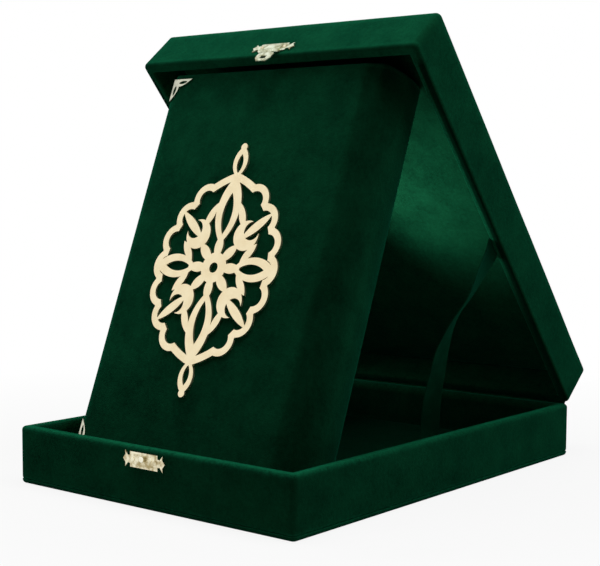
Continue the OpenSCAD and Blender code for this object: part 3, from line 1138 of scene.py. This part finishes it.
@dataclass
class HingeCloth:
    """The velvet strip over the back walls that the lid folds on."""

    box: BoxSizes = BOX
    end_in: float = 3.5
    height: float = 20.0
    lift: float = 0.42
    half_t: float = 0.4
    free: float = 1.7
    turn_steps: int = 8
    pitch: float = 6.0

    def section(self) -> list[tuple[Vector, Vector, float]]:
        """Gives the strip's middle line at rest from the tray's wall to the lid's.

        Returns:
            Rows of a point in y and z, the outward direction there, and a mark.
        """
        b = self.box
        a = math.radians(b.lid_rest)
        fold = Vector((b.fold_y, b.fold_z))
        up, out = Vector((math.sin(a), math.cos(a))), Vector((math.cos(a), -math.sin(a)))
        down, back = Vector((0.0, -1.0)), Vector((1.0, 0.0))
        reach = [self.height - k for k in (0.0, 0.25, 0.8, 2.0, 5.0, 9.0, 13.0, 16.0)]
        reach.append(self.free)
        # Marks paint highlight, partly rubbed pile, at the strip's free edges and, more faintly, along
        # its turn.
        edge = [0.5 if i < 3 else 0.0 for i in range(len(reach))]
        tray = [fold + down * r + back * self.lift for r in reach]
        lid = [fold + up * r + out * self.lift for r in reach]
        turn = fold + (back + out).normalized() * (self.lift / math.cos(a / 2))
        rows = [(p, back, mark) for p, mark in zip(tray, edge)]
        for t in (i / self.turn_steps for i in range(1, self.turn_steps)):
            point = tray[-1] * (1 - t) ** 2 + turn * 2 * t * (1 - t) + lid[-1] * t * t
            rows.append((point, (back * (1 - t) + out * t).normalized(), 0.3))
        return rows + [(p, out, mark) for p, mark in zip(lid[::-1], edge[::-1])]

    def build(self) -> None:
        """Makes the strip with rounded edges, bending from tray to lid."""
        b, rows = self.box, self.section()
        half_w = b.half_w - self.end_in
        edge = [half_w - k for k in (0.0, 0.12, 0.4, 1.2)]
        across = edge + steps_between(edge[-1], -edge[-1], self.pitch) + [-x for x in edge[::-1]]
        ends = {0: 0.15, 1: 0.7, len(rows) - 2: 0.7, len(rows) - 1: 0.15}
        draft, rings = Draft(), []
        for x in across:
            near = half_w - abs(x)
            slope = 1.0 - min(near, self.half_t) / self.half_t
            thin = math.sqrt(max(0.0, 1.0 - slope**2)) * 0.9 + 0.1
            ring: list[Point] = []
            marks: list[float] = []
            for side in (1, -1):
                for i, (point, out, mark) in list(enumerate(rows))[::side]:
                    spot = point + out * (side * self.half_t * thin * ends.get(i, 1.0))
                    ring.append((x, spot.x, spot.y))
                    # Painted highlight, partly rubbed pile, at the strip's ends.
                    marks.append(max(mark, 0.5 if near < 1.0 else 0.0))
            rings.append(draft.row(ring, marks))
        draft.tube(rings)
        piece = draft.build("hinge_cloth_cover", Matrix())
        finish_piece(piece, BOX_VELVET, None, ["hinge_cloth_tray", "hinge_cloth_lid"])
        end = b.lid_point(0.0, 0.0, self.free)
        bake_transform(piece)


@dataclass
class StayRibbon:
    """The slack ribbon between tray and lid."""

    box: BoxSizes = BOX
    x: float = 98.1
    at: float = 138.4
    width: float = 14.0
    below: float = 2.0
    meets: float = 2.2
    tip: float = 12.2
    smooth: int = 8
    curl: float = 0.35
    curl_run: float = 17.0
    twists: tuple[Point, ...] = ((0.56, 0.34, 26.0), (0.2, 0.42, -18.0))
    knots: tuple[tuple[float, float, float, float], ...] = (
        (0.0, -0.3, 1.0, -10.0),
        (0.0, -2.1, 4.0, -17.5),
        (0.0, -9.1, 9.0, -21.2),
        (0.05, -17.1, 12.4, -26.6),
        (0.05, -23.1, 16.4, -22.6),
        (0.1, -25.1, 15.8, -19.2),
        (0.15, -24.6, 13.2, -12.7),
        (0.2, -22.6, 9.5, -4.3),
        (0.3, -19.1, 4.3, 0.5),
        (0.4, -15.1, -1.9, 3.4),
        (0.5, -10.6, -6.2, 4.2),
        (0.6, -7.6, -6.4, 3.0),
        (0.7, -4.4, -4.6, 1.9),
        (0.8, -2.0, -1.8, 4.2),
        (0.93, -0.2, -0.5, 1.4),
    )
    across: tuple[Spot, ...] = (
        (-1.0, 0.2),
        (-0.94, 0.3),
        (-0.86, 0.22),
        (-0.5, 0.2),
        (0.0, 0.2),
        (0.5, 0.2),
        (0.86, 0.22),
        (0.94, 0.3),
        (1.0, 0.2),
    )

    def ends(self) -> tuple[Vector, Vector, Vector]:
        """Finds the ribbon's ends.

        Returns:
            Where it leaves the tray, where it meets the lid, and its tip on the lid.
        """
        tray = Vector((self.x, self.box.fold_y - self.at, self.box.tray_h - self.below))
        meets, tip = (self.box.lid_point(self.x, self.at, up) for up in (self.meets, self.tip))
        return tray, meets, tip

    def path(self) -> list[Vector]:
        """Draws the ribbon's middle line smoothly through its knots.

        Returns:
            The points of the line, from the tray to the lid.
        """
        start, end, tip = self.ends()
        knots = [start + k[0] * (end - start) + Vector(k[1:]) for k in self.knots]
        spots = [start] + knots + [end, tip]
        line: list[Vector] = []
        for i in range(len(spots) - 1):
            a, b, c, d = (spots[max(0, min(len(spots) - 1, i + k))] for k in (-1, 0, 1, 2))
            for t in (step / self.smooth for step in range(self.smooth)):
                cubic = (3 * b - a - 3 * c + d) * t**3
                square = (2 * a - 5 * b + 4 * c - d) * t * t
                line.append(0.5 * (2 * b + (c - a) * t + square + cubic))
        return line + [tip]

    def twist(self, share: float) -> float:
        """Gives the ribbon's turn about its own line, in radians, at a share of its length."""
        bends = [(clamp((share - start) / run), deg) for start, run, deg in self.twists]
        return math.radians(sum(deg * math.sin(math.pi * t) ** 2 for t, deg in bends))

    def build(self) -> None:
        """Makes the ribbon, with corded edges, a slack twist and a slight curl across."""
        line, draft = self.path(), Draft()
        rings, run, last = [], 0.0, len(line) - 1
        for i, spot in enumerate(line):
            ahead = (line[min(i + 1, last)] - line[max(i - 1, 0)]).normalized()
            side = (Vector((0.0, 1.0, 0.0)) - ahead.y * ahead).normalized()
            side.rotate(Matrix.Rotation(self.twist(i / last), 3, ahead))
            face = ahead.cross(side)
            run += (spot - line[i - 1]).length if i else 0.0
            loose = self.curl * math.sin(math.pi * i / last)
            ring: list[Point] = []
            for sign in (1, -1):
                for at, half in self.across[::sign]:
                    bow = loose * (at**2 - 0.5) * math.sin(run / self.curl_run)
                    ring.append(spot + side * at * self.width / 2 + face * (sign * half + bow))
            rings.append(draft.row(ring, run * MM))
        draft.tube(rings)
        piece = draft.build("lid_stay_ribbon_satin", Matrix(), attribute=ALONG)
        finish_piece(piece, RIBBON_SATIN, None, ["lid_stay_ribbon"])
        start, end, _ = self.ends()
        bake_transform(piece)


# The book


@dataclass
class Book:
    """The velvet case, the leaves and the bands of the book."""

    book: BookSizes = BOOK
    leaves: int = 96
    leaf_share: float = 0.93
    trim: float = 0.5
    rounder: float = 0.6
    uneven: float = 0.22
    corner: float = 2.2
    edge_steps: int = 6
    spine_steps: int = 9
    painted_spine_shade: float = -0.38
    band_r: float = 1.1
    band_w: float = 0.9
    band_in: float = 2.0
    band_sides: int = 10
    band_steps: int = 60
    # Joint rows: outer x and height, inner x and height, mark; the marks paint shade into the joint,
    # deepest towards the spine.
    joint: tuple[Strip, ...] = (
        (63.0, 44.0, 63.0, 40.0, 0.0),
        (65.0, 43.96, 65.0, 40.0, 0.0),
        (66.6, 43.8, 66.6, 40.0, -0.08),
        (68.0, 43.42, 68.2, 40.05, -0.2),
        (69.4, 42.94, 69.4, 40.1, -0.3),
        (70.8, 42.52, 70.8, 40.1, -0.36),
        (72.2, 42.22, 72.2, 40.1, -0.38),
        (73.6, 41.98, 73.6, 40.1, -0.38),
        (74.9, 41.66, 74.9, 40.1, -0.38),
        (76.0, 41.2, 75.8, 40.0, -0.38),
        (77.0, 40.5, 76.4, 39.6, -0.38),
        (77.8, 39.66, 76.9, 39.0, -0.38),
        (78.45, 38.75, 77.3, 38.35, -0.38),
    )

    def section(self) -> list[Strip]:
        """Gives the case's section from the front fore-edge to the back one.

        Returns:
            Rows of outer x and height, inner x and height, and a mark.
        """
        b, half = self.book, self.book.cover / 2
        mid, low = b.thick - half, b.thick - b.cover
        rows: list[Strip] = []
        for i in range(self.edge_steps + 1):
            a = math.radians(4.0 + 86.0 * i / self.edge_steps)
            x, h = b.fore_x + half * (1.0 - math.cos(a)), half * math.sin(a)
            # Painted highlight, partly rubbed pile, round the fore-edge, fading just past it.
            rows.append((x, mid + h, x, mid - h, 0.75))
        flat = [(b.fore_x + 3.4, 0.3), (b.fore_x + 5.0, 0.05)]
        flat += [(x, 0.0) for x in steps_between(b.fore_x + 5.0, self.joint[0][0], 6.0)]
        rows += [(x, b.thick, x, low, mark) for x, mark in flat]
        rows += self.joint
        centre = (b.back_c, b.thick / 2)
        outer = arc(centre, b.cloth_out, 20.2, 0.0, self.spine_steps)
        inner = arc(centre, b.cloth_in, 20.6, 0.0, self.spine_steps)
        for i, (o, n) in enumerate(zip(outer, inner)):
            # Painted shade on the spine, deepest at the joint and gone at the spine's middle.
            mark = self.painted_spine_shade * (1.0 - (i / self.spine_steps) ** 1.5)
            rows.append((*o, *n, mark))
        back = [(ox, b.thick - oz, ix, b.thick - iz, mark) for ox, oz, ix, iz, mark in rows[:-1]]
        return rows + back[::-1]

    def case(self) -> None:
        """Makes the velvet case over boards, joints and spine."""
        b, section, corner = self.book, self.section(), self.corner
        radius = b.cover / 2
        end: list[Point] = []
        for i in range(self.edge_steps + 1):
            a = math.pi / 2 * i / self.edge_steps
            # Slightly lighter at head and tail: painted highlight, partly rubbed pile.
            end.append((radius * (1.0 - math.cos(a)), max(math.sin(a), 0.02), 0.1))
        end += [(3.4, 1.0, 0.0), (5.0, 1.0, 0.0)]
        middle = [(s, 1.0, 0.0) for s in steps_between(5.0, b.length - 5.0, 7.0)]
        draft, rings = Draft(), []
        for s, k, end_mark in end + middle + [(b.length - s, k, m) for s, k, m in end[::-1]]:
            ring: list[Point] = []
            marks: list[float] = []
            for side in (1, -1):
                for ox, oz, ix, iz, mark in section[::side]:
                    near = max(0.0, corner - (ox - b.fore_x))
                    trim = corner - math.sqrt(corner**2 - near**2)
                    y = trim + s * (b.length - 2 * trim) / b.length
                    cx, cz = (ox + ix) / 2, (oz + iz) / 2
                    px, pz = (ox, oz) if side > 0 else (ix, iz)
                    ring.append((cx + (px - cx) * k, y, cz + (pz - cz) * k))
                    marks.append(max(mark, end_mark) if end_mark else mark)
            rings.append(draft.row(ring, marks))
        draft.tube(rings)
        piece = draft.build("book_case_cover", b.pose(), ripple=swell(34.0, 0.07, 7.9))
        finish_piece(piece, BOOK_VELVET, Body.BOOK, ["book_case_velvet"])

    def leaf_tree(self) -> Group:
        """Builds the tree that stacks the leaves: rounded back, hollow fore-edge.

        Returns:
            The geometry node tree.
        """
        kit, source, out = new_group(
            "page_stack",
            "GeometryNodeTree",
            [
                ("Geometry", "NodeSocketGeometry", None),
                ("Count", "NodeSocketInt", 96),
                ("Pitch", "NodeSocketFloat", 0.0004),
                ("Leaf", "NodeSocketVector", (0.15, 0.23, 0.0003)),
                ("Round", "NodeSocketFloat", 0.004),
                ("Uneven", "NodeSocketFloat", 0.0002),
                ("Seed", "NodeSocketInt", 5),
                ("Material", "NodeSocketMaterial", None),
            ],
            [("Geometry", "NodeSocketGeometry")],
        )
        count, uneven, seed = source["Count"], source["Uneven"], source["Seed"]
        lift = kit.out("ShaderNodeCombineXYZ", {"Z": source["Pitch"]})
        line = kit.out("GeometryNodeMeshLine", {"Count": count, "Offset": lift}, mode="OFFSET")
        share = kit.math("DIVIDE", kit.out("GeometryNodeInputIndex"), kit.math("SUBTRACT", count, 1.0))
        place = kit.math("SUBTRACT", kit.math("MULTIPLY", share, 2.0), 1.0)
        bow = kit.math("SUBTRACT", 1.0, kit.math("MULTIPLY", place, place))
        span = {2: kit.math("MULTIPLY", uneven, -1.0), 3: uneven}
        shifts = []
        for axis in (0.0, 1.0):
            drawn = {**span, "Seed": kit.math("ADD", seed, axis)}
            draw = kit.add("FunctionNodeRandomValue", drawn, data_type="FLOAT")
            shifts.append(draw.outputs[1])
        along = kit.math("ADD", kit.math("MULTIPLY", bow, source["Round"]), shifts[0])
        offset = kit.out("ShaderNodeCombineXYZ", {"X": along, "Y": shifts[1]})
        points = kit.out("GeometryNodeSetPosition", {"Geometry": line, "Offset": offset})
        leaf = kit.out("GeometryNodeMeshCube", {"Size": source["Leaf"]})
        stack = kit.out("GeometryNodeInstanceOnPoints", {"Points": points, "Instance": leaf})
        tone = kit.add("FunctionNodeRandomValue", {"Seed": seed}, data_type="FLOAT").outputs[1]
        toned = kit.out(
            "GeometryNodeStoreNamedAttribute",
            {"Geometry": stack, "Name": ALONG, "Value": tone},
            data_type="FLOAT",
            domain="INSTANCE",
        )
        return end_tree(kit, source, out, toned)

    def pages(self) -> None:
        """Makes the block of leaves."""
        b = self.book
        low = b.cover + b.paper
        width = b.page_end - b.fore_x - b.square
        pitch = (b.thick - 2 * low) / self.leaves
        leaf = (width, b.length - 2 * b.square - self.trim, pitch * self.leaf_share)
        values = {
            "Count": self.leaves,
            "Pitch": pitch * MM,
            "Leaf": tuple(side * MM for side in leaf),
            "Round": (b.hollow + self.rounder) * MM,
            "Uneven": self.uneven * MM,
            "Seed": 5,
            "Material": LEAVES.material(),
        }
        seed = carrier("page_seed", [(0.0, 0.0, 0.0)])
        piece = from_nodes(seed, self.leaf_tree(), values, "book_leaves")
        start = Vector((b.fore_x + b.square + width / 2, b.length / 2, low + pitch / 2)) * MM
        piece.data.transform(b.pose() @ Matrix.Translation(start))
        finish_piece(piece, LEAVES, Body.BOOK, ["book_page_block"])

    def band(self, node: str, y: float) -> None:
        """Makes a sewn band at one end of the back.

        Args:
            node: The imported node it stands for.
            y: Where its middle lies along the book.
        """
        b, along = self.book, Vector((0.0, 1.0, 0.0))
        reach = math.degrees(math.asin((b.thick / 2 - b.cover - self.band_in) / b.back_r))
        centre = (b.back_c, b.thick / 2)
        line = arc(centre, b.back_r - self.band_r, -reach, reach, self.band_steps)
        draft, rings = Draft(), []
        for x, z in line:
            spot = Vector((x, y, z))
            out = Vector((x - centre[0], 0.0, z - centre[1])).normalized()
            spokes = [(c * self.band_r, s * self.band_w) for c, s in circle(self.band_sides)]
            ring = [spot + out * over + along * beside for over, beside in spokes]
            rings.append(draft.row(ring))
        draft.tube(rings)
        piece = draft.build(node + "_sewn", b.pose())
        finish_piece(piece, BAND_THREAD, Body.BOOK, [node])


# Metal, boards and paper


@dataclass
class Nails:
    """Domed nails of the latch plates, set by one tree."""

    box: BoxSizes = BOX
    head_r: float = 1.4
    dome: float = 0.8
    plate_t: float = 0.8
    plate_x: float = 8.6
    catch_z: float = 27.1
    hasp_z: float = 39.7
    sides: int = 14
    profile: tuple[Spot, ...] = (
        (0.02, 1.0),
        (0.35, 0.95),
        (0.65, 0.78),
        (0.88, 0.48),
        (1.0, 0.18),
        (0.97, 0.0),
    )

    def head(self) -> Piece:
        """Makes one domed head with a rolled edge, at the origin.

        Returns:
            The head.
        """
        draft, rings = Draft(), []
        for share, height in self.profile:
            r = self.head_r * share
            rings.append(draft.row((r * c, r * s, self.dome * height) for c, s in circle(self.sides)))
        draft.tube(rings)
        return draft.build("nail_head", Matrix())

    def tree(self) -> Group:
        """Builds the tree that sets a head on each point, turned to its aim.

        Returns:
            The geometry node tree.
        """
        kit, source, out = new_group(
            "nail_setting",
            "GeometryNodeTree",
            [
                ("Geometry", "NodeSocketGeometry", None),
                ("Head", "NodeSocketObject", None),
                ("Scale", "NodeSocketFloat", 1.0),
                ("Material", "NodeSocketMaterial", None),
            ],
            [("Geometry", "NodeSocketGeometry")],
        )
        named = {"Name": "aim"}
        aim = kit.out("GeometryNodeInputNamedAttribute", named, data_type="FLOAT_VECTOR")
        info = kit.add("GeometryNodeObjectInfo", {"Object": source["Head"]})
        setting = {
            "Points": source["Geometry"],
            "Instance": info.outputs["Geometry"],
            "Rotation": kit.out("FunctionNodeAlignRotationToVector", {"Vector": aim}, axis="Z"),
            "Scale": source["Scale"],
        }
        return end_tree(kit, source, out, kit.out("GeometryNodeInstanceOnPoints", setting))

    def build(self) -> None:
        """Makes the nails of the catch and those of the hasp."""
        head, tree = self.head(), self.tree()
        halves = (
            (Body.TRAY, "catch", self.catch_z, Matrix()),
            (Body.LID, "hasp", self.hasp_z, self.box.lid_pose()),
        )
        depth = -self.box.half_d - self.plate_t
        for body, name, plate_z, pose in halves:
            spots = [Vector((side * self.plate_x, depth, plate_z)) * MM for side in (-1, 1)]
            aims = [pose.to_3x3() @ Vector((0.0, -1.0, 0.0))] * 2
            seed = carrier(name + "_nail_seed", [pose @ spot for spot in spots], aims)
            values = {"Head": head, "Scale": 1.0, "Material": BRASS.material()}
            piece = from_nodes(seed, tree, values, name + "_nail_heads")
            piece.data.shade_smooth()
            finish_piece(piece, BRASS, body, [name + "_nails"])
        bpy.data.objects.remove(head)


@dataclass
class Hardware:
    """Metal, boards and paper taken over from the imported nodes."""

    nodes: dict[str, Piece]
    merge: float = 1e-6
    flat_deg: float = 0.6
    sharp_deg: float = 40.0
    crease: float = 32.0
    rounded: tuple[tuple[str, Finish, Body, float], ...] = (
        ("catch_plate", BRASS, Body.TRAY, 0.16),
        ("catch_knob", KNOB_BRASS, Body.TRAY, 0.16),
        ("hasp_plate", HASP_BRASS, Body.LID, 0.16),
        ("hasp_tongue", HASP_BRASS, Body.HASP, 0.16),
        ("book_medallion", PALE_GOLD, Body.BOOK, 0.2),
        ("book_top_corner", CORNER_METAL_PAINTED_SHADE, Body.BOOK, 0.15),
        ("book_bottom_corner", CORNER_METAL_PAINTED_SHADE, Body.BOOK, 0.15),
    )
    coated: tuple[tuple[str, Finish], ...] = (
        ("hasp_pin", BRASS),
        ("tray_base_board", RAW_BOARD),
        ("lid_panel_board", RAW_BOARD),
        ("book_front_board", BINDER_CARD),
        ("book_back_board", BINDER_CARD),
        ("book_spine_card", BINDER_CARD),
        ("book_front_endpaper", ENDPAPER),
        ("book_back_endpaper", ENDPAPER),
    )

    def softened(self, node: str, finish: Finish, body: Body, round_mm: float) -> None:
        """Makes a merged copy of a node with rounded edges.

        Args:
            node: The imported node.
            finish: Its finish.
            body: The body it rides on.
            round_mm: How far its edges are rounded.
        """
        bm = bmesh.new()
        bm.from_mesh(self.nodes[node].data)
        bmesh.ops.remove_doubles(bm, verts=bm.verts[:], dist=self.merge)
        flat = math.radians(self.flat_deg)
        bmesh.ops.dissolve_limit(bm, angle_limit=flat, verts=bm.verts[:], edges=bm.edges[:])
        sharp = math.radians(self.sharp_deg)
        joined = [e for e in bm.edges if len(e.link_faces) == 2]
        bmesh.ops.bevel(
            bm,
            geom=[e for e in joined if e.calc_face_angle(0.0) > sharp],
            offset=round_mm * MM,
            offset_type="OFFSET",
            segments=2,
            profile=0.6,
            affect="EDGES",
            clamp_overlap=True,
        )
        bmesh.ops.triangulate(bm, faces=[f for f in bm.faces if len(f.verts) > 4])
        piece = smooth_piece(node + "_dressed", bm, self.crease)
        finish_piece(piece, finish, body, [node])

    def coat(self, node: str, finish: Finish) -> None:
        """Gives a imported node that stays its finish.

        Args:
            node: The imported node.
            finish: Its finish.
        """
        data = self.nodes[node].data
        data.materials.clear()
        data.materials.append(finish.material())

    def build(self) -> None:
        """Rounds the metal that shows and coats the nodes that stay."""
        for row in self.rounded:
            self.softened(*row)
        for node, finish in self.coated:
            self.coat(node, finish)
        for part in ("tray", "lid"):
            for side in ("front", "back", "left", "right"):
                self.coat(f"{part}_{side}_wall", RAW_BOARD)


# Stage


@dataclass(frozen=True)
class Lamp:
    """A soft square lamp, aimed at a point and fanned out by an angle."""

    name: str
    place: Point
    size: float
    watts: float
    aim: Point = (0.0, -0.02, 0.11)
    spread: float = 180.0

    def build(self) -> None:
        """Hangs the lamp, out of sight of the camera and of mirrors."""
        data = bpy.data.lights.new(self.name, "AREA")
        data.size = self.size
        data.energy = self.watts
        data.spread = math.radians(self.spread)
        piece = placed(self.name, data)
        piece.location = self.place
        piece.visible_camera = False
        piece.visible_glossy = False
        away = Vector(self.place) - Vector(self.aim)
        piece.rotation_euler = away.to_track_quat("Z", "Y").to_euler()


@dataclass
class Studio:
    """Floor, lamps, world and camera."""

    camera_at: Point = (0.5129, -0.6435, 0.1763)
    azimuth: float = 38.985
    elevation: float = 4.173
    roll: float = 0.29
    lens: float = 79.72
    sensor: float = 36.0
    ambient: float = 0.02
    floor_far: float = 6.0
    floor_grey: Colour = rgb(0.5, 0.5, 0.5)
    fade_from: Spot = (0.2, 0.5)
    fade_to: Spot = (0.89, 1.0)
    lamps: tuple[Lamp, ...] = (
        Lamp("top_lamp", (0.05, 0.05, 1.0), 0.7, 8.6),
        Lamp("near_lamp", (-0.25, -0.3, 0.5), 0.25, 0.58),
        Lamp("back_lamp", (0.45, 0.05, 0.6), 0.35, 1.6),
        Lamp("left_lamp", (-1.2, -0.2, 0.4), 0.6, 6.5),
        Lamp("inner_lamp", (0.01, 0.005, 0.12), 0.06, 0.09, (0.09, 0.048, 0.204), 115.0),
    )

    def camera(self) -> None:
        """Sets the camera at the viewing angle of the photograph."""
        az, el = math.radians(self.azimuth), math.radians(self.elevation)
        back = Vector((math.sin(az) * math.cos(el), -math.cos(az) * math.cos(el), math.sin(el)))
        right = Vector((0.0, 0.0, 1.0)).cross(back).normalized()
        upright = Matrix((right, back.cross(right), back)).transposed()
        turn = upright @ Matrix.Rotation(math.radians(self.roll), 3, "Z")
        data = bpy.data.cameras.new("view_camera")
        data.lens = self.lens
        data.sensor_width = self.sensor
        data.sensor_fit = "HORIZONTAL"
        data.clip_start = 0.01
        camera = placed("view_camera", data)
        camera.matrix_world = Matrix.Translation(Vector(self.camera_at)) @ turn.to_4x4()
        bpy.context.scene.camera = camera

    def world(self) -> None:
        """Sets a world that looks white and lights dimly."""
        world = bpy.data.worlds.new("studio")
        kit = Tree.cleared(world)
        dim = kit.out("ShaderNodeBackground", {"Color": WHITE, "Strength": self.ambient})
        plain = kit.out("ShaderNodeBackground", {"Color": WHITE, "Strength": 1.0})
        kit.surface("ShaderNodeOutputWorld", kit.seen(), dim, plain)
        bpy.context.scene.world = world

    def floor(self) -> None:
        """Lays a plain pale floor that turns into the white backdrop further out."""
        made = bpy.data.materials.new("pale_floor")
        kit = Tree.cleared(made)
        reach = kit.add("ShaderNodeVectorMath", {0: kit.place()}, operation="LENGTH")
        fade = kit.spread(reach.outputs["Value"], self.fade_from, self.fade_to)
        matt = kit.out("ShaderNodeBsdfDiffuse", {"Color": self.floor_grey})
        glow = kit.out("ShaderNodeEmission", {"Color": WHITE, "Strength": 1.0})
        shown = kit.math("MULTIPLY", fade, kit.seen())
        kit.surface("ShaderNodeOutputMaterial", shown, matt, glow)
        signs = ((-1, -1), (1, -1), (1, 1), (-1, 1))
        corners = [(x * self.floor_far, y * self.floor_far, 0.0) for x, y in signs]
        mesh = bpy.data.meshes.new("floor")
        mesh.from_pydata(corners, [], [(0, 1, 2, 3)])
        mesh.materials.append(made)
        placed("floor", mesh)

    def build(self) -> None:
        """Sets the whole stage."""
        self.camera()
        for lamp in self.lamps:
            lamp.build()
        self.world()
        self.floor()
        bpy.context.scene.view_settings.view_transform = "Standard"


def main() -> None:
    """Builds the stage and every piece in order."""
    logging.basicConfig(level=logging.INFO, format="%(name)s: %(message)s")
    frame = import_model()
    Studio().build()
    tray, lid, book = Tray(), Lid(), Book()
    tray.walls()
    tray.underside()
    tray.floor()
    lid.cover()
    lid.lining()
    HingeCloth().build()
    StayRibbon().build()
    book.case()
    book.pages()
    book.band("book_head_band", BOOK.length - BOOK.square + book.band_w)
    book.band("book_tail_band", BOOK.square - book.band_w)
    Nails().build()
    Hardware(frame["nodes"]).build()


if __name__ == "__main__":
    main()
